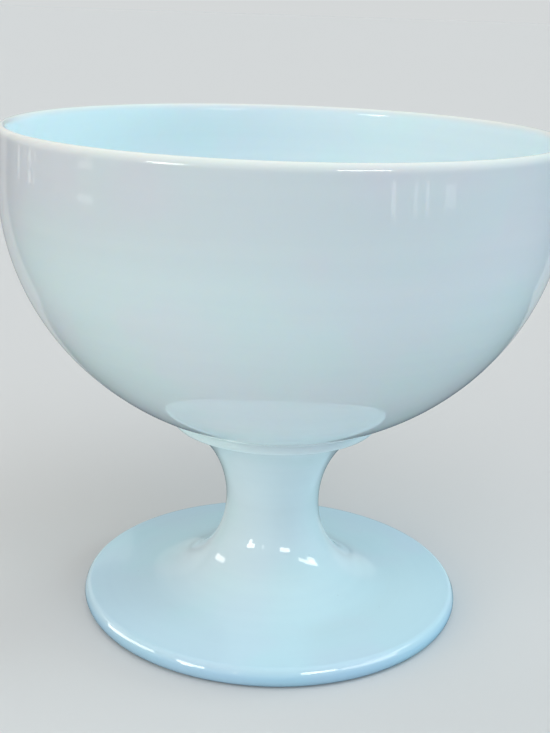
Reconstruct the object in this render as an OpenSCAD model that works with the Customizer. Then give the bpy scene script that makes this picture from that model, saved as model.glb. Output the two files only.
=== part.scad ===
// Footed compote bowl in opaline glass: a deep round bowl on a waisted stem and a wide
// round foot, with a thin saucer of glass, the merese, fused between bowl and stem.
// Millimetres. +Z is up, and the origin is the centre of the foot, on the table.
// Each piece is a body of revolution about Z, and each seat is face to face.

/* [Bowl] */
// Outer diameter of the bowl just below the rounded lip
lip_d = 190; // [140:1:240]
// Thickness of the wall below the rounded lip
lip_t = 3; // [2.4:0.1:6]
// Height of the lip's rounding
lip_round_h = 2.8; // [1:0.1:6]
// How far the widest level stands out past the lip
belly_out = 0.5; // [0:0.1:6]
// Depth of the widest level below the top of the lip
belly_drop = 19.3; // [8:0.1:40]
// Height of the bowl from its underside to the top of the lip
bowl_h = 108.1; // [80:0.1:140]
// Height of the bowl's underside above the table
bowl_lift = 65.6; // [52:0.1:100]
// Thickness of the wall at its widest level
wall_t = 2.4; // [1.6:0.1:4]
// Thickness of the glass at the bottom of the bowl
floor_t = 4.5; // [2.5:0.1:10]

/* [Merese] */
// How far the saucer stands out past the top of the stem, along the bowl
merese_overhang = 5.4; // [4:0.1:18]
// Thickness of the saucer, whose lower edge is rounded by half as much
merese_t = 3; // [2:0.1:5]

/* [Stem] */
// Diameter of the stem at its waist
waist_d = 34.1; // [24:0.1:44]
// Height of the waist above the table
waist_h = 38.8; // [28:0.1:46]
// Diameter of the stem where it meets the merese
stem_top_d = 62; // [50:0.5:80]
// Angle turned by the outline from the waist up to the merese
stem_sweep = 57; // [35:1:80]

/* [Foot] */
// Outer diameter of the foot
foot_d = 138.3; // [116:0.1:180]
// Thickness of the rounded edge of the foot
foot_edge_t = 7.4; // [4:0.1:10]
// Rise of the foot's top from its edge to the flare of the stem
foot_rise = 0.4; // [0:0.1:2]
// Diameter at which the flare runs out into the foot's top
flare_d = 91; // [70:0.5:104]
// Height of the seat on which the stem stands
collar_h = 17; // [14:0.5:22]
// Width of the flat ring that the foot rests on
rest_ring_w = 6; // [3:0.5:12]
// Depth of the shallow hollow inside the rest ring
hollow_depth = 2.2; // [0.5:0.1:4]
// Diameter of the ground mark at the middle of the hollow
pontil_d = 24; // [12:1:40]
// Depth of the ground mark below the hollow
pontil_depth = 0.6; // [0.2:0.1:1.5]

/* [Hidden] */
$fn = 144;

bowl_colour = "#cddcdf";
merese_colour = "#cfe3e6";
stem_colour = "#c6dde3";
foot_colour = "#bddfea";

// Steps along each stretch of an outline
cup_steps = 12;
overhang_steps = 3;
wall_steps = 28;
rim_steps = 10;
round_steps = 14;
flare_steps = 12;
underside_steps = 8;

// The bowl's outline is an ellipse centred on the axis at the widest level
belly_r = lip_d / 2 + belly_out;
belly_z = bowl_lift + bowl_h - belly_drop;
bowl_drop = bowl_h - belly_drop;
lip_r = lip_d / 2;
lip_z = bowl_lift + bowl_h - lip_round_h;

// The merese is a saucer of even thickness that follows the same ellipse
cup_r = belly_r + merese_t;
cup_drop = bowl_drop + merese_t;
seat_angle = -acos(stem_top_d / 2 / cup_r);
merese_edge_r = merese_t / 2;
merese_angle = -acos((stem_top_d / 2 + merese_overhang) / belly_r);
merese_turn = asin(merese_edge_r / belly_r);

waist_r = waist_d / 2;
stem_top_z = belly_z + cup_drop * sin(seat_angle);

foot_r = foot_d / 2;
foot_edge_r = foot_edge_t / 2;
flare_z = foot_edge_t + foot_rise;
collar_angle = asin((waist_h - collar_h) / (waist_h - flare_z));
hollow_r = foot_r - foot_edge_r - rest_ring_w;
pontil_r = pontil_d / 2;

// Evenly spaced angles from one to another, both ends included
function sweep(from, to, steps) = [for (i = [0:steps]) from + (to - from) * i / steps];

// A list without its first entry, and a list back to front
function after_first(list) = [for (i = [1:len(list) - 1]) list[i]];
function reversed(list) = [for (i = [len(list) - 1:-1:0]) list[i]];

// Points of an arc about (x, z)
function arc(x, z, r, angles) = [for (t = angles) [x + r * cos(t), z + r * sin(t)]];

// Points of an ellipse centred on the axis at the widest level of the bowl
function shell(r, drop, angles) = [for (t = angles) [r * cos(t), belly_z + drop * sin(t)]];

// One face of the wall above the merese's edge: the ellipse up to the widest level, then a
// slow turn from there to a radius of rim_r at the lip
function wall(r, drop, rim_r) =
    let (lower = shell(r, drop, sweep(merese_angle, 0, wall_steps)))
    let (upper = [for (u = sweep(0, 1, rim_steps))
        [r + (rim_r - r) * u * u * (3 - 2 * u), belly_z + (lip_z - belly_z) * u]])
    concat(lower, after_first(upper));

// The part of the bowl's ellipse that sits in the merese, from the axis outwards
function cup(r, drop) = shell(r, drop, sweep(-90, merese_angle, cup_steps));

// The merese's underside that the stem carries, from the axis outwards
function seat() = shell(cup_r, cup_drop, sweep(-90, seat_angle, cup_steps));

// The stem's outline from its waist up to the merese: part of an ellipse
function stem_upper() =
    let (reach = (stem_top_d / 2 - waist_r) / (1 - cos(stem_sweep)))
    let (rise = (stem_top_z - waist_h) / sin(stem_sweep))
    [for (t = sweep(0, stem_sweep, flare_steps))
        [waist_r + reach * (1 - cos(t)), waist_h + rise * sin(t)]];

// The flare from the waist down into the foot: a quarter ellipse, between two angles
function flare(from, to) =
    let (reach = flare_d / 2 - waist_r)
    let (fall = waist_h - flare_z)
    [for (t = sweep(from, to, flare_steps))
        [waist_r + reach * (1 - cos(t)), waist_h - fall * sin(t)]];

// Height of the hollow under the foot at radius r, and of the ground mark within it
function hollow_z(r) = hollow_depth * (1 - pow(r / hollow_r, 2));
function pontil_z(r) = hollow_z(r) + pontil_depth * (1 - pow(r / pontil_r, 2));

// Deep round bowl with a rounded lip, a little thicker than the wall
module bowl() {
    outside = concat(cup(belly_r, bowl_drop), after_first(wall(belly_r, bowl_drop, lip_r)));
    lip = [for (t = sweep(0, 180, round_steps))
        [lip_r - lip_t / 2 * (1 - cos(t)), lip_z + lip_round_h * sin(t)]];
    inside_r = belly_r - wall_t;
    inside_drop = bowl_drop - floor_t;
    inside = concat(cup(inside_r, inside_drop), after_first(wall(inside_r, inside_drop, lip_r - lip_t)));
    color(bowl_colour)
    rotate_extrude()
    polygon(concat(outside, after_first(lip), after_first(reversed(inside))));
}

// The merese's lower edge, from its underside round to the upright face below the bowl. Each
// point lies at a depth below the bowl's ellipse
function merese_edge() =
    [for (t = sweep(90, 0, round_steps))
        let (depth = merese_edge_r * (1 + sin(t)))
        let (angle = merese_angle - merese_turn * (1 - cos(t)))
        [(belly_r + depth) * cos(angle), belly_z + (bowl_drop + depth) * sin(angle)]];

// Thin saucer of glass between the bowl and the stem, with a rounded lower edge
module merese() {
    under = shell(cup_r, cup_drop, sweep(seat_angle, merese_angle - merese_turn, overhang_steps));
    top = reversed(cup(belly_r, bowl_drop));
    color(merese_colour)
    rotate_extrude()
    polygon(concat(seat(), after_first(under), after_first(merese_edge()), top));
}

// Solid waisted stem, hollowed at the top to take the merese
module stem() {
    outline = concat(reversed(flare(0, collar_angle)), after_first(stem_upper()));
    color(stem_colour)
    rotate_extrude()
    polygon(concat([[0, collar_h]], outline, after_first(reversed(seat()))));
}

// Wide round foot with a thick rounded edge, a raised seat for the stem and a hollow underside
module foot() {
    mark = [for (r = sweep(0, pontil_r, underside_steps)) [r, pontil_z(r)]];
    hollow = [for (r = sweep(pontil_r, hollow_r, underside_steps)) [r, hollow_z(r)]];
    edge = arc(foot_r - foot_edge_r, foot_edge_r, foot_edge_r, sweep(-90, 90, round_steps));
    top = reversed(flare(collar_angle, 90));
    color(foot_colour)
    rotate_extrude()
    polygon(concat(mark, after_first(hollow), edge, top, [[0, collar_h]]));
}

bowl();
merese();
stem();
foot();
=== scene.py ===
import math

import bpy
import numpy as np
from mathutils import Matrix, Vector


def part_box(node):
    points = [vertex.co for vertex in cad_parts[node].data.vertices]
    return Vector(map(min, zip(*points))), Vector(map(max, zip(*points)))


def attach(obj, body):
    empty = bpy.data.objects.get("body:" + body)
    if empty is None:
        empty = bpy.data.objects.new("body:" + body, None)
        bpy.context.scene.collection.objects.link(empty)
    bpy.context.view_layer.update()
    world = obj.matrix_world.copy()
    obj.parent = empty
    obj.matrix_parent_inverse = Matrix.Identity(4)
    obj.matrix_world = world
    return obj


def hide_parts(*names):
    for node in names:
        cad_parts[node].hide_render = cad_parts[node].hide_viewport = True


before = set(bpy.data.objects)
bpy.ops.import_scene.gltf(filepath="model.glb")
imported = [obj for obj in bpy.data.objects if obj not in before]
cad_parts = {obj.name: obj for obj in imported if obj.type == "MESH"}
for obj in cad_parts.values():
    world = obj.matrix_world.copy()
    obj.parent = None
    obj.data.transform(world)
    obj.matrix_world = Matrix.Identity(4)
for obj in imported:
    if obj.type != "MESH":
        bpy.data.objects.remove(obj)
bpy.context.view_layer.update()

# A footed compote bowl in opaline glass: bowl, merese, stem and foot, each a body of
# revolution about Z. Lengths are in metres, and MM is one millimetre.
MM = 0.001
FULL_TURN = 2 * math.pi

# The photograph's camera. Its yaw, pitch and roll are in degrees, and its focal length is in
# pixels of the photograph, whose long side the sensor width belongs to.
PHOTO_LONG_SIDE = 733
SENSOR_WIDTH = 36.0
FOCAL_LENGTH = 1171.8
CAMERA_PLACE = (0.0, -401.80 * MM, 211.85 * MM)
CAMERA_YAW = -0.101
CAMERA_PITCH = 17.001
CAMERA_ROLL = 1.947
NEAREST_SEEN = 10 * MM
FURTHEST_SEEN = 200.0


def make_camera():
    """The aim turned by yaw about Z and tipped down by pitch, with the right and up axes
    then rolled about it."""
    yaw, pitch, roll = np.radians([CAMERA_YAW, CAMERA_PITCH, CAMERA_ROLL])
    level = np.array([math.sin(yaw), math.cos(yaw), 0.0])
    upright = np.array([0.0, 0.0, 1.0])
    aim = math.cos(pitch) * level - math.sin(pitch) * upright
    side = np.cross(level, upright)
    top = np.cross(side, aim)
    right = math.cos(roll) * side + math.sin(roll) * top
    up = math.cos(roll) * top - math.sin(roll) * side
    lens = bpy.data.cameras.new("camera")
    lens.sensor_width = SENSOR_WIDTH
    lens.lens = FOCAL_LENGTH / PHOTO_LONG_SIDE * SENSOR_WIDTH
    lens.clip_start = NEAREST_SEEN
    lens.clip_end = FURTHEST_SEEN
    camera = bpy.data.objects.new("camera", lens)
    turned = Matrix(np.column_stack([right, up, -aim]).tolist())
    camera.matrix_world = Matrix.LocRotScale(CAMERA_PLACE, turned, None)
    bpy.context.scene.collection.objects.link(camera)
    bpy.context.scene.camera = camera


make_camera()

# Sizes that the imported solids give
bowl_low, bowl_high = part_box("bowl")
stem_low, stem_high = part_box("stem")
foot_low, foot_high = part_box("foot")
BOWL_BOTTOM = bowl_low[2]
BOWL_TOP = bowl_high[2]
STEM_TOP_R = (stem_high[1] - stem_low[1]) / 2
COLLAR_H = foot_high[2]
FOOT_R = (foot_high[1] - foot_low[1]) / 2

# Sizes of the bowl, the merese, the stem and the foot
BELLY_R = 95.5 * MM
BELLY_DROP = 19.3 * MM
LIP_R = 95.0 * MM
LIP_T = 3.0 * MM
LIP_ROUND_H = 2.8 * MM
WALL_T = 2.4 * MM
FLOOR_T = 4.5 * MM
MERESE_T = 3.0 * MM
MERESE_OVERHANG = 5.4 * MM
MERESE_FILLET = 0.9 * MM
WAIST_R = 17.05 * MM
WAIST_H = 38.8 * MM
STEM_SWEEP = math.radians(57)
FLARE_R = 45.5 * MM
FLARE_H = 7.8 * MM
FOOT_EDGE_R = 3.7 * MM
SIDE_R = 3.9 * MM
BEVEL_R = 15 * MM
BEVEL_FROM = math.radians(23)
BEVEL_TO = math.radians(27.5)
SHOULDER_H = 7.4 * MM
REST_RING_W = 6.0 * MM
HOLLOW_DEPTH = 2.2 * MM
PONTIL_R = 12.0 * MM
PONTIL_DEPTH = 0.6 * MM

BELLY_Z = BOWL_TOP - BELLY_DROP
BOWL_DROP = BELLY_Z - BOWL_BOTTOM
LIP_Z = BOWL_TOP - LIP_ROUND_H
CUP_R = BELLY_R + MERESE_T
CUP_DROP = BOWL_DROP + MERESE_T
MERESE_EDGE_R = MERESE_T / 2
MERESE_ANGLE = -math.acos((STEM_TOP_R + MERESE_OVERHANG) / BELLY_R)
MERESE_TURN = math.asin(MERESE_EDGE_R / BELLY_R)
SEAT_ANGLE = -math.acos(STEM_TOP_R / CUP_R)
STEM_TOP_Z = BELLY_Z + CUP_DROP * math.sin(SEAT_ANGLE)
COLLAR_ANGLE = math.asin((WAIST_H - COLLAR_H) / (WAIST_H - FLARE_H))
HOLLOW_R = FOOT_R - FOOT_EDGE_R - REST_RING_W
BEVEL_H = SIDE_R * math.sin(BEVEL_FROM) + BEVEL_R * (math.sin(BEVEL_TO) - math.sin(BEVEL_FROM))
SHOULDER_R = (SHOULDER_H - FOOT_EDGE_R - BEVEL_H) / (1 - math.sin(BEVEL_TO))

# Points round each turn, and along each stretch of an outline
TURNS = 288
CUP_STEPS = 24
WALL_STEPS = 90
RIM_STEPS = 40
ROUND_STEPS = 32
FLARE_STEPS = 60
UNDERSIDE_STEPS = 20
CREASE = math.radians(30)

# Where the body colours and the painted light and shade change: the height over which the light
# inside the wall fades out towards the merese, the heights between which the wall goes from
# thick to thin and the upper wall's painted shade comes in, the depths of the lip's painted
# light outside and inside, the shares of the way over the lip at which the outside ends and at
# which the inside's painted light starts, the radii between which the stem's colour melts into
# the foot's, the radius past which the painted shade of the foot's rim starts, the part of it
# that the top takes, the heights between which the rest comes in, and the height below which
# the underside counts as ground
SEAM_FADE = 12 * MM
THICK_BELOW = 125 * MM
THIN_ABOVE = 162 * MM
LIP_LIGHT_OUTSIDE = 3.6 * MM
LIP_LIGHT_INSIDE = 2.5 * MM
LIP_MIDDLE = 0.5
INSIDE_FROM = 0.6
STEM_COLOUR_TO_R = 20 * MM
FOOT_COLOUR_FROM_R = 46 * MM
RIM_R = 60 * MM
RIM_ON_TOP = 0.28
RIM_FROM_H = 7.35 * MM
RIM_FULL_H = 3.8 * MM
GROUND_H = 0.05 * MM


def smoothstep(u):
    """0 below 0, 1 above 1, and 3u² - 2u³ between."""
    u = np.clip(u, 0.0, 1.0)
    return u * u * (3 - 2 * u)


def shell(r, drop, angles):
    """Points (r cos t, z0 + drop sin t) of an ellipse about the axis at the widest level z0."""
    return np.stack([r * np.cos(angles), BELLY_Z + drop * np.sin(angles)], axis=1)


def arc(r, z, radius, angles):
    """Points of a circle of that radius about (r, z)."""
    return np.stack([r + radius * np.cos(angles), z + radius * np.sin(angles)], axis=1)


def joined(*stretches):
    """One outline from several, each of which starts where the one before it ends."""
    return np.concatenate([stretches[0]] + [s[1:] for s in stretches[1:]])


def wall(r, drop, rim_r):
    """One face of the bowl's wall: the ellipse up to the widest level, then a turn to the
    lip's radius by smoothstep of the height from there to the lip."""
    lower = shell(r, drop, np.linspace(MERESE_ANGLE, 0.0, WALL_STEPS))
    u = np.linspace(0.0, 1.0, RIM_STEPS)
    upper = np.stack([r + (rim_r - r) * smoothstep(u), BELLY_Z + (LIP_Z - BELLY_Z) * u], axis=1)
    return joined(lower, upper)


def cup(r, drop):
    """The part of the ellipse that sits in the merese, from the axis outwards."""
    return shell(r, drop, np.linspace(-math.pi / 2, MERESE_ANGLE, CUP_STEPS))


def seat():
    """The merese's underside that the stem carries, from the axis outwards."""
    return shell(CUP_R, CUP_DROP, np.linspace(-math.pi / 2, SEAT_ANGLE, CUP_STEPS))


def stem_upper():
    """The stem from its waist up to the merese: an ellipse turned through STEM_SWEEP."""
    t = np.linspace(0.0, STEM_SWEEP, FLARE_STEPS)
    reach = (STEM_TOP_R - WAIST_R) / (1 - math.cos(STEM_SWEEP))
    rise = (STEM_TOP_Z - WAIST_H) / math.sin(STEM_SWEEP)
    return np.stack([WAIST_R + reach * (1 - np.cos(t)), WAIST_H + rise * np.sin(t)], axis=1)


def flare(start, end):
    """The flare from the waist into the foot: a quarter ellipse between two of its angles."""
    t = np.linspace(start, end, FLARE_STEPS)
    reach = FLARE_R - WAIST_R
    fall = WAIST_H - FLARE_H
    return np.stack([WAIST_R + reach * (1 - np.cos(t)), WAIST_H - fall * np.sin(t)], axis=1)


def parabola(r, r_end, depth):
    """Height depth (1 - (r / r_end)²) of a shallow hollow at radius r."""
    return depth * (1 - (r / r_end) ** 2)


def bevelled(start, angles, radii):
    """Arcs that run into one another from a start point. Arc i turns from angle i to angle
    i + 1 and adds radius i times the change of (cos t, sin t)."""
    stretches = []
    for first, last, radius in zip(angles, angles[1:], radii):
        turned = arc(0.0, 0.0, radius, np.linspace(first, last, ROUND_STEPS))
        stretches.append(start + turned - turned[0])
        start = stretches[-1][-1]
    return joined(*stretches)


def bowl_outline():
    """Outside from the axis up to the lip, round the lip, and down inside to the axis. The
    mark within rises from 0 outside to 1 inside by smoothstep over the inner part of the lip,
    where the inside's painted light takes over. The lip's mark of painted light, its top lit
    bright cream white, is 1 at the top of the lip and falls to 0 as the square of the height
    above its lower end, slowly on the outside and quickly inside. The mark free rises from 0
    to 1 by smoothstep of the height above the merese, and is 1 inside. The wall's mark of
    painted shade does so from the thick to the thin part of the wall: it greys the upper wall,
    partly for the thinner glass and partly as painted shade where less light fell."""
    outside = joined(cup(BELLY_R, BOWL_DROP), wall(BELLY_R, BOWL_DROP, LIP_R))
    turn = np.linspace(0.0, math.pi, ROUND_STEPS)
    lip_r = LIP_R - LIP_T / 2 * (1 - np.cos(turn))
    lip = np.stack([lip_r, LIP_Z + LIP_ROUND_H * np.sin(turn)], axis=1)
    inside_r = BELLY_R - WALL_T
    inside_drop = BOWL_DROP - FLOOR_T
    inside = joined(cup(inside_r, inside_drop), wall(inside_r, inside_drop, LIP_R - LIP_T))
    outline = joined(outside, lip, inside[::-1])
    order = np.arange(len(outline))
    over_lip = np.interp(order, [len(outside) - 1, len(outside) + len(lip) - 2], [0.0, 1.0])
    within = smoothstep((over_lip - INSIDE_FROM) / (1 - INSIDE_FROM))
    merese_z = BELLY_Z + BOWL_DROP * math.sin(MERESE_ANGLE)
    free = smoothstep((outline[:, 1] - merese_z) / SEAM_FADE)
    free[order >= len(outside)] = 1.0
    fade = np.where(over_lip < LIP_MIDDLE, LIP_LIGHT_OUTSIDE, LIP_LIGHT_INSIDE)
    # Painted light: the lip's top lit bright cream white, fading down each side.
    lip_light = np.clip((outline[:, 1] - BOWL_TOP + fade) / fade, 0.0, 1.0) ** 2
    # Partly painted shade: the upper wall greyer where less light fell, partly the thinner glass.
    thin = smoothstep((outline[:, 1] - THICK_BELOW) / (THIN_ABOVE - THICK_BELOW))
    return outline, {"within": within, "lip_light": lip_light, "free": free, "thin": thin}


def merese_outline():
    """A saucer of even thickness that follows the bowl. Its edge is a point at a depth below
    the bowl's ellipse: it rounds up from the underside to an upright face, and a hollow
    quarter circle then melts the face into the bowl."""
    turn = np.linspace(math.pi / 2, 0.0, ROUND_STEPS)
    corner_depth = MERESE_EDGE_R * (1 + np.sin(turn))
    corner_angle = MERESE_ANGLE - MERESE_TURN * (1 - np.cos(turn))
    fillet_depth = MERESE_FILLET * (1 - np.sin(turn[::-1]))
    fillet_turn = MERESE_FILLET / BELLY_R
    fillet_angle = MERESE_ANGLE + fillet_turn * (1 - np.cos(turn[::-1]))
    depth = np.concatenate([corner_depth, fillet_depth])
    angle = np.concatenate([corner_angle, fillet_angle])
    edge_r = (BELLY_R + depth) * np.cos(angle)
    edge_z = BELLY_Z + (BOWL_DROP + depth) * np.sin(angle)
    edge = np.stack([edge_r, edge_z], axis=1)
    below = np.linspace(SEAT_ANGLE, MERESE_ANGLE - MERESE_TURN, CUP_STEPS)
    above = np.linspace(MERESE_ANGLE + fillet_turn, -math.pi / 2, CUP_STEPS)
    under = shell(CUP_R, CUP_DROP, below)
    top = shell(BELLY_R, BOWL_DROP, above)
    return joined(seat(), under, edge, top), {}


def stem_outline():
    """Flat seat on the foot, flare, waist, and the hollow that takes the merese."""
    floor = np.array([[0.0, COLLAR_H]])
    outer = joined(flare(0.0, COLLAR_ANGLE)[::-1], stem_upper())
    return np.concatenate([floor, outer, seat()[-2::-1]]), {}


def foot_outline():
    """Ground mark, hollow, flat rest ring, edge, top, flare and flat seat. The edge is a
    quarter circle below, and above it a side, a slow bevel and a shoulder. The mark ground is
    1 on the rest ring and in the ground mark, and 0 elsewhere. The mark stemward falls from 1
    to 0 by smoothstep of the radius on the top. The rim's mark carries painted shade and
    painted reflection, darker and bluer down the edge: it rises by smoothstep of the radius to
    a part of its value at the edge of the top, and from there to 1 by smoothstep of the height
    down the edge's face."""
    mark_r = np.linspace(0.0, PONTIL_R, UNDERSIDE_STEPS)
    mark_z = parabola(mark_r, HOLLOW_R, HOLLOW_DEPTH) + parabola(mark_r, PONTIL_R, PONTIL_DEPTH)
    hollow_r = np.linspace(PONTIL_R, HOLLOW_R, UNDERSIDE_STEPS)
    hollow_z = parabola(hollow_r, HOLLOW_R, HOLLOW_DEPTH)
    mark = np.stack([mark_r, mark_z], axis=1)
    hollow = np.stack([hollow_r, hollow_z], axis=1)
    quarter = math.pi / 2
    bottom = np.array([FOOT_R - FOOT_EDGE_R, 0.0])
    turns = (-quarter, 0.0, BEVEL_FROM, BEVEL_TO, quarter)
    edge = bevelled(bottom, turns, (FOOT_EDGE_R, SIDE_R, BEVEL_R, SHOULDER_R))
    top = flare(COLLAR_ANGLE, quarter)[::-1]
    middle = np.array([[0.0, COLLAR_H]])
    outline = np.concatenate([joined(mark, hollow), edge, top, middle])
    r, z = outline.T
    ring = (z < GROUND_H) & (r >= HOLLOW_R)
    centre = np.arange(len(outline)) < UNDERSIDE_STEPS
    # The rim's painted shade and painted reflection: darker and bluer down the edge's face.
    on_top = RIM_ON_TOP * smoothstep((r - RIM_R) / (FOOT_R - RIM_R))
    on_face = smoothstep((RIM_FROM_H - z) / (RIM_FROM_H - RIM_FULL_H))
    rim_shade = on_top + (1 - on_top) * on_face
    rim_shade[r < RIM_R] = 0.0
    stemward = smoothstep((FOOT_COLOUR_FROM_R - r) / (FOOT_COLOUR_FROM_R - STEM_COLOUR_TO_R))
    stemward[z < FOOT_EDGE_R] = 0.0
    return outline, {"ground": (ring | centre).astype(float), "stemward": stemward, "rim_shade": rim_shade}


def revolve(name, outline, marks):
    """Surface of revolution: point (i, j) is outline point i turned about Z by j even steps of
    a full turn. The outline's two ends lie on the axis, where a fan of triangles closes it.
    Each mark goes round unchanged, and so does run, the length along the outline."""
    rings = outline[1:-1]
    phi = np.arange(TURNS) * FULL_TURN / TURNS
    r, z = rings[:, :1], rings[:, 1:]
    points = np.stack([r * np.cos(phi), r * np.sin(phi), z + 0 * phi], axis=-1).reshape(-1, 3)
    poles = np.array([[0.0, 0.0, outline[0, 1]], [0.0, 0.0, outline[-1, 1]]])
    points = np.concatenate([points, poles])
    this = np.arange(TURNS)
    after = (this + 1) % TURNS
    start = np.arange(len(rings) - 1)[:, None] * TURNS
    corners = [start + this, start + after, start + TURNS + after, start + TURNS + this]
    quads = np.stack(corners, axis=-1)
    last = (len(rings) - 1) * TURNS
    low_pole, high_pole = len(points) - 2, len(points) - 1
    low_fan = np.stack([np.full(TURNS, low_pole), after, this], axis=-1)
    high_fan = np.stack([last + this, last + after, np.full(TURNS, high_pole)], axis=-1)
    faces = quads.reshape(-1, 4).tolist() + low_fan.tolist() + high_fan.tolist()
    mesh = bpy.data.meshes.new(name)
    mesh.from_pydata(points.tolist(), [], faces)
    steps = np.linalg.norm(np.diff(outline, axis=0), axis=1)
    marks = {**marks, "run": np.concatenate([[0.0], np.cumsum(steps)])}
    for mark, values in marks.items():
        layer = mesh.attributes.new(mark, "FLOAT", "POINT")
        round_values = np.repeat(values[1:-1], TURNS)
        ends = [values[0], values[-1]]
        layer.data.foreach_set("value", np.concatenate([round_values, ends]).astype(np.float32))
    mesh.shade_smooth()
    mesh.set_sharp_from_angle(angle=CREASE)
    mesh.validate()
    piece = bpy.data.objects.new(name, mesh)
    bpy.context.scene.collection.objects.link(piece)
    return piece


# Colours of the glass. The body is more aqua where it is thick, and greyer where the wall is
# thin, which is partly painted shade on the upper wall. Inside the bowl it is paler and more
# aqua: painted light, where the light passes from wall to wall. The lip's cream white is
# painted light on its top. The merese's paler tint is painted light that makes up for its
# shade under the bowl, the foot's more aqua tint is partly painted light from above, and the
# foot's bluer rim is painted shade and painted reflection down its edge. The last five scale
# a body colour: the two ends of its clouds, none, the turned streaks and the seeds.
BOWL_TINT = (0.745, 0.861, 0.888)
THIN_SHADED_TINT = (0.693, 0.746, 0.775)
INSIDE_LIT_TINT = (0.795, 0.915, 0.940)
LIT_LIP_AND_GROUND_TINT = (0.960, 0.972, 0.880)
MERESE_LIT_TINT = (0.800, 0.945, 0.970)
STEM_TINT = (0.722, 0.872, 0.900)
FOOT_BODY_AND_LIT_TINT = (0.670, 0.852, 0.902)
RIM_SHADE_TINT = (0.445, 0.680, 0.828)
MAUVE = (1.012, 0.985, 1.0)
AQUA = (0.985, 1.010, 1.004)
WHITE = (1.0, 1.0, 1.0)
STREAK = (0.985, 0.988, 0.992)
SEED = (0.72, 0.74, 0.76)

# Sizes and strengths of what the glass shows close to. A pair of edges gives the noise at which
# a pattern starts to show and at which it shows in full, and a detail is how fine its noise is.
GLASS_IOR = 1.5
BOWL_SSS = 0.35
SSS_RADIUS = (1.0, 0.75, 0.6)
SSS_DEPTH = 3 * MM
CLOUD = 38 * MM
TOOL_MARK = 2.2 * MM
TOOL_REACH = 90 * MM
TOOL_H = 0.004 * MM
CLOUD_EDGES = (0.38, 0.62)
STREAK_EDGES = (0.3, 0.7)
SMUDGE_EDGES = (0.45, 0.75)
RIPPLE = 26 * MM
RIPPLE_H = 0.12 * MM
SEED_GAP = 13 * MM
SEED_R = 0.32 * MM
SEED_DEPTH = 0.7
SMUDGE = 22 * MM
SMUDGE_DETAIL = 4.0
SMUDGE_ROUGHNESS = 0.035
GLOSS_ROUGHNESS = 0.022
GROUND_ROUGHNESS = 0.5
GROUND_PALE = 0.6
SCRATCH = 0.35 * MM
SCRATCH_H = 0.03 * MM
SCRATCH_DETAIL = 3.0
NOISE_DETAIL = 2.0
RELIEF_DETAIL = 1.0

# Sockets of a node that mixes colours: its share, its first colour and its second, and the
# colour that it gives
MIX_SHARE = 0
MIX_FIRST = 6
MIX_SECOND = 7
MIX_RESULT = 2


def put(tree, kind, inputs=None, **settings):
    """A new node with its settings. Each input takes a value, or the output that feeds it."""
    node = tree.nodes.new(kind)
    for key, value in settings.items():
        setattr(node, key, value)
    for key, value in (inputs or {}).items():
        if isinstance(value, bpy.types.NodeSocket):
            tree.links.new(value, node.inputs[key])
        else:
            node.inputs[key].default_value = value
    return node


def blend(tree, share, first, second, kind="MIX"):
    """The mix of two colours, the second one by that share."""
    inputs = {MIX_SHARE: share, MIX_FIRST: first, MIX_SECOND: second}
    mixed = put(tree, "ShaderNodeMix", inputs, data_type="RGBA", blend_type=kind)
    return mixed.outputs[MIX_RESULT]


def ramp(tree, value, start, end):
    """Smoothstep of a value from 0 at start to 1 at end."""
    inputs = {0: value, 1: start, 2: end}
    return put(tree, "ShaderNodeMapRange", inputs, interpolation_type="SMOOTHSTEP").outputs[0]


def mark_of(tree, name):
    """A mark that the mesh carries."""
    return put(tree, "ShaderNodeAttribute", attribute_name=name).outputs["Fac"]


def noise(tree, place, size, detail=NOISE_DETAIL):
    """Soft noise whose lumps are about that size."""
    inputs = {"Vector": place, "Scale": 1 / size, "Detail": detail}
    return put(tree, "ShaderNodeTexNoise", inputs).outputs["Fac"]


def scaled(tree, value, factor, added=0.0):
    """The value times a factor, plus what is added."""
    inputs = {0: value, 1: factor, 2: added}
    return put(tree, "ShaderNodeMath", inputs, operation="MULTIPLY_ADD").outputs[0]


def sum_of(tree, first, second):
    """The sum of two values."""
    return put(tree, "ShaderNodeMath", {0: first, 1: second}, operation="ADD").outputs[0]


def shade(tint, factors):
    """A tint with each of its channels scaled."""
    return tuple(t * f for t, f in zip(tint, factors)) + (1.0,)


def turned_place(tree, place):
    """Coordinates that change quickly along the outline and slowly round it, for the marks
    that the turning glass takes from the tools."""
    apart = put(tree, "ShaderNodeSeparateXYZ", {0: place})
    along = mark_of(tree, "run")
    around = TOOL_MARK / TOOL_REACH
    x = scaled(tree, apart.outputs["X"], around)
    y = scaled(tree, apart.outputs["Y"], around)
    return put(tree, "ShaderNodeCombineXYZ", {"X": x, "Y": y, "Z": along}).outputs[0]


def clouded(tree, cloud, tint):
    """A tint that drifts a little between mauve and aqua."""
    return blend(tree, cloud, shade(tint, MAUVE), shade(tint, AQUA))


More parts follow.
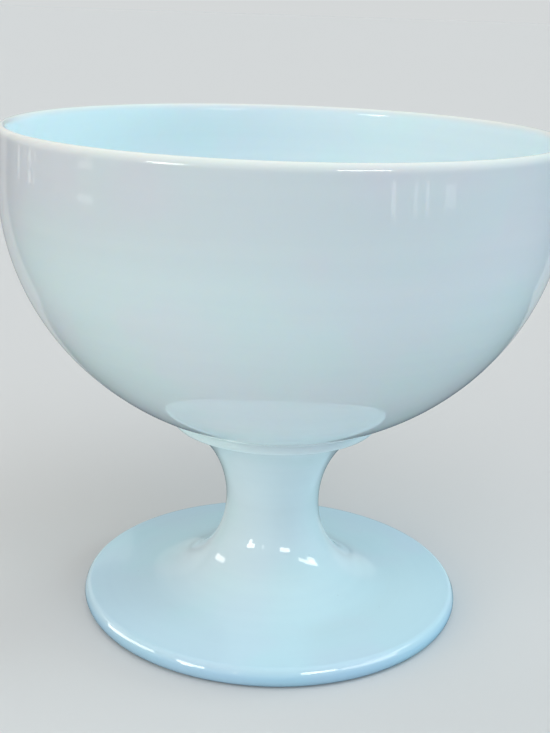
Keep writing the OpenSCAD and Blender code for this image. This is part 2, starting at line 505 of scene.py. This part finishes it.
def opaline(name, tint, tints=(), subsurface=0.0, ground=False):
    """Milky glass. Its colour is the body tint with slow mauve and aqua clouds, faint turned
    streaks and a few seeds, which are small bubbles. Each of the other tints takes over where
    its mark says. Its gloss has a slight ripple, turned rings and hand smudges. Ground parts
    are satin with fine scratches."""
    material = bpy.data.materials.new(name)
    material.use_nodes = True
    tree = material.node_tree
    glass = tree.nodes["Principled BSDF"]
    place = put(tree, "ShaderNodeTexCoord").outputs["Object"]
    turned = turned_place(tree, place)

    cloud = ramp(tree, noise(tree, place, CLOUD), *CLOUD_EDGES)
    colour = clouded(tree, cloud, tint)
    for mark, other in tints:
        colour = blend(tree, mark_of(tree, mark), colour, clouded(tree, cloud, other))
    streak = ramp(tree, noise(tree, turned, TOOL_MARK * 2), *STREAK_EDGES)
    streaks = blend(tree, streak, shade(WHITE, STREAK), shade(WHITE, WHITE))
    colour = blend(tree, 1.0, colour, streaks, "MULTIPLY")
    cells = put(tree, "ShaderNodeTexVoronoi", {"Vector": place, "Scale": 1 / SEED_GAP})
    seed = ramp(tree, scaled(tree, cells.outputs["Distance"], SEED_GAP), SEED_R, SEED_R / 2)
    colour = blend(tree, scaled(tree, seed, SEED_DEPTH), colour, shade(tint, SEED))

    smudge = ramp(tree, noise(tree, place, SMUDGE, SMUDGE_DETAIL), *SMUDGE_EDGES)
    rough = scaled(tree, smudge, SMUDGE_ROUGHNESS, GLOSS_ROUGHNESS)
    ripple = scaled(tree, noise(tree, place, RIPPLE, RELIEF_DETAIL), RIPPLE_H)
    rings = scaled(tree, noise(tree, turned, TOOL_MARK, RELIEF_DETAIL), TOOL_H)
    height = sum_of(tree, ripple, rings)
    if ground:
        frosted = mark_of(tree, "ground")
        rough = put(tree, "ShaderNodeMix", {0: frosted, 2: rough, 3: GROUND_ROUGHNESS}).outputs[0]
        scratches = scaled(tree, noise(tree, place, SCRATCH, SCRATCH_DETAIL), SCRATCH_H)
        height = sum_of(tree, height, scaled(tree, scratches, frosted))
        # Ground parts turn towards the lip's cream white: here it is the frosted glass's own
        # paleness.
        colour = blend(tree, scaled(tree, frosted, GROUND_PALE), colour, shade(LIT_LIP_AND_GROUND_TINT, WHITE))
    bump = put(tree, "ShaderNodeBump", {"Height": height, "Distance": 1.0})

    tree.links.new(colour, glass.inputs["Base Color"])
    tree.links.new(rough, glass.inputs["Roughness"])
    tree.links.new(bump.outputs["Normal"], glass.inputs["Normal"])
    glass.inputs["IOR"].default_value = GLASS_IOR
    if subsurface:
        weight = scaled(tree, mark_of(tree, "free"), subsurface)
        tree.links.new(weight, glass.inputs["Subsurface Weight"])
        glass.inputs["Subsurface Radius"].default_value = SSS_RADIUS
        glass.inputs["Subsurface Scale"].default_value = SSS_DEPTH
    return material


def make_piece(name, outline, node, material):
    """A finished piece: its surface, its material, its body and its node."""
    piece = revolve(name, *outline)
    piece.data.materials.append(material)
    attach(piece, "root")
    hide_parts(node)
    return piece


# Over the bowl's body: the upper wall's painted shade, the inside's and the lip's painted light.
BOWL_TINTS = (("thin", THIN_SHADED_TINT), ("within", INSIDE_LIT_TINT), ("lip_light", LIT_LIP_AND_GROUND_TINT))
# Over the foot's body: the stem's colour melting in, and the rim's painted shade.
FOOT_TINTS = (("stemward", STEM_TINT), ("rim_shade", RIM_SHADE_TINT))
bowl_opaline = opaline("bowl_opaline", BOWL_TINT, BOWL_TINTS, subsurface=BOWL_SSS)
# The merese's paler tint is painted light that makes up for its shade under the bowl.
merese_opaline = opaline("merese_opaline", MERESE_LIT_TINT)
stem_opaline = opaline("stem_opaline", STEM_TINT)
# The foot's body colour is partly painted light: more aqua, as its top is under cool light from
# above.
foot_opaline = opaline("foot_opaline", FOOT_BODY_AND_LIT_TINT, FOOT_TINTS, ground=True)
make_piece("bowl_glass", bowl_outline(), "bowl", bowl_opaline)
merese = make_piece("merese_glass", merese_outline(), "merese", merese_opaline)
stem = make_piece("stem_glass", stem_outline(), "stem", stem_opaline)
foot = make_piece("foot_glass", foot_outline(), "foot", foot_opaline)

# The floor's half width, colour and roughness, the surround above and below the horizon and how
# softly they meet, the backdrop, the lamps' distance, the windows' colour, and the middle of
# the object, which the lamps face
FLOOR_HALF = 40.0
FLOOR_COLOUR = (0.74, 0.71, 0.69, 1.0)
FLOOR_ROUGHNESS = 0.9
SURROUND_ABOVE = (0.294, 0.315, 0.330, 1.0)
SURROUND_BELOW = (0.061, 0.074, 0.094, 1.0)
BACKDROP = (0.662, 0.685, 0.690, 1.0)
HORIZON_FADE = 0.02
WINDOW_DISTANCE = 1.6
WINDOW_COLOUR = (1.0, 0.97, 0.92)
MIDDLE = np.array([0.0, 0.0, 80 * MM])


def make_floor():
    """A plain pale floor, level with the foot."""
    half = FLOOR_HALF
    corners = [(-half, -half, 0), (half, -half, 0), (half, half, 0), (-half, half, 0)]
    mesh = bpy.data.meshes.new("floor")
    mesh.from_pydata(corners, [], [(0, 1, 2, 3)])
    floor = bpy.data.objects.new("floor", mesh)
    material = bpy.data.materials.new("pale_floor")
    material.use_nodes = True
    surface = material.node_tree.nodes["Principled BSDF"]
    surface.inputs["Base Color"].default_value = FLOOR_COLOUR
    surface.inputs["Roughness"].default_value = FLOOR_ROUGHNESS
    surface.inputs["Specular IOR Level"].default_value = 0.0
    mesh.materials.append(material)
    bpy.context.scene.collection.objects.link(floor)
    floor.visible_glossy = False


def make_world():
    """A surround that is even and pale above the horizon. Below it, where only mirror
    reflections look, it is dark, so that the gloss has depth. The camera sees a plain
    backdrop of the floor's brightness."""
    world = bpy.data.worlds.new("surround")
    world.use_nodes = True
    tree = world.node_tree
    towards = put(tree, "ShaderNodeTexCoord").outputs["Generated"]
    height = put(tree, "ShaderNodeSeparateXYZ", {0: towards}).outputs["Z"]
    above = ramp(tree, height, -HORIZON_FADE, HORIZON_FADE)
    seen = put(tree, "ShaderNodeLightPath").outputs["Is Camera Ray"]
    around = blend(tree, above, SURROUND_BELOW, SURROUND_ABOVE)
    sky = tree.nodes["Background"]
    tree.links.new(blend(tree, seen, around, BACKDROP), sky.inputs["Color"])
    bpy.context.scene.world = world


def aim(lamp, name, azimuth, elevation, distance):
    """Hangs a lamp at a distance from the middle of the object and turns it to face that.
    Azimuth is from the camera's side towards +X, and both angles are in degrees."""
    az, el = math.radians(azimuth), math.radians(elevation)
    back = np.array([math.sin(az) * math.cos(el), -math.cos(az) * math.cos(el), math.sin(el)])
    side = np.array([math.cos(az), math.sin(az), 0.0])
    turned = Matrix(np.column_stack([side, np.cross(back, side), back]).tolist())
    box = bpy.data.objects.new(name, lamp)
    box.matrix_world = Matrix.LocRotScale((MIDDLE + back * distance).tolist(), turned, None)
    bpy.context.scene.collection.objects.link(box)
    return box


def soft_light(name, azimuth, elevation, width, radiance, colour):
    """A broad round light from far away, width degrees across. It gives the shading and is
    left out of mirror reflections. Its power is pi times its radiance times the square of
    the sine of half its width."""
    lamp = bpy.data.lights.new(name, "SUN")
    lamp.angle = math.radians(width)
    lamp.energy = math.pi * radiance * math.sin(lamp.angle / 2) ** 2
    lamp.color = colour
    aim(lamp, name, azimuth, elevation, WINDOW_DISTANCE).visible_glossy = False


def group(name, *pieces):
    """The pieces that a window shows on."""
    collection = bpy.data.collections.new(name)
    for piece in pieces:
        collection.objects.link(piece)
    return collection


def window(name, azimuth, elevation, width, height, radiance, roll, shows_on):
    """A bright rectangle, width by height in degrees and rolled about its aim, seen only in
    mirror reflections, on all pieces or on one group. Its power is pi times its radiance times
    its area."""
    lamp = bpy.data.lights.new(name, "AREA")
    lamp.color = WINDOW_COLOUR
    lamp.shape = "RECTANGLE"
    lamp.size = 2 * WINDOW_DISTANCE * math.tan(math.radians(width) / 2)
    lamp.size_y = 2 * WINDOW_DISTANCE * math.tan(math.radians(height) / 2)
    lamp.energy = math.pi * radiance * lamp.size * lamp.size_y
    box = aim(lamp, name, azimuth, elevation, WINDOW_DISTANCE)
    box.matrix_world = box.matrix_world @ Matrix.Rotation(math.radians(roll), 4, "Z")
    box.visible_camera = False
    box.visible_diffuse = False
    if shows_on:
        box.light_linking.receiver_collection = shows_on


make_floor()
make_world()
below_the_bowl = group("below_the_bowl", merese, stem, foot)
foot_alone = group("foot_alone", foot)

# Name, azimuth, elevation and width in degrees, radiance and colour
SOFT_LIGHTS = (
    ("above", 0, 90, 70, 0.40, (1.0, 0.99, 0.94)),
    ("left_low", -75, 16, 30, 2.02, (1.0, 0.97, 0.86)),
    ("left_front", -45, 16, 30, 2.25, (1.0, 0.95, 0.86)),
    ("right_front", 45, 16, 30, 1.20, (0.25, 0.65, 1.0)),
    ("right_back", 110, 16, 30, 4.15, (0.74, 0.96, 1.0)),
    ("left_back", -140, 30, 50, 0.58, (0.89, 0.95, 1.0)),
    ("front_high", 0, 50, 50, 1.37, (0.93, 0.97, 1.0)),
    ("right_high", 70, 50, 50, 1.05, (0.70, 0.87, 1.0)),
)

# Name, azimuth, elevation, width and height in degrees, radiance, roll in degrees, and the
# group of pieces that it shows on. The bars and gleams are dim, and so are the walls.
WINDOWS = (
    ("window_far_left", -103, 18.5, 5, 21, 7, -62, below_the_bowl),
    ("window_left", -43, 11.5, 16, 5, 11, 0, None),
    ("window_left_foot", -44.5, 7, 7, 5, 11, 0, None),
    ("window_front", -17, 13, 3, 5, 4, 0, None),
    ("window_right", 29.5, 15.5, 20, 5, 11, 0, None),
    ("window_far_right", 77, 24.5, 34, 4, 9, 0, below_the_bowl),
    ("window_far_right_foot", 84, 20.5, 14, 5, 9, 0, below_the_bowl),
    ("shoulder_left", -84.4, 3.6, 38, 5, 8, 16, foot_alone),
    ("shoulder_right", 60, 10.1, 36, 5, 5, -12, foot_alone),
    ("bar_far_left", -120, -2.8, 1.5, 0.9, 0.8, 0, None),
    ("bar_left", -110.5, -2.6, 2, 0.8, 1.0, 0, None),
    ("bar_mid_left", -107, -2.6, 1.2, 0.8, 0.8, 0, None),
    ("gleam_left", -77, -2.6, 7, 1.2, 1.2, 0, None),
    ("bar_right", 40, -1.4, 1.8, 1.4, 1.6, 0, None),
    ("bar_mid_right", 48.5, -1.4, 1.2, 1.4, 1.4, 0, None),
    ("bar_far_right", 53, -1.4, 1.5, 1.4, 1.4, 0, None),
    ("gleam_right", 63, -1.4, 5, 1, 1.2, 0, None),
    ("wall_left", -152, 0, 36, 50, 0.35, 0, None),
    ("wall_right", 150, 0, 30, 40, 0.35, 0, None),
)
for light in SOFT_LIGHTS:
    soft_light(*light)
for pane in WINDOWS:
    window(*pane)
bpy.context.scene.view_settings.view_transform = "Standard"
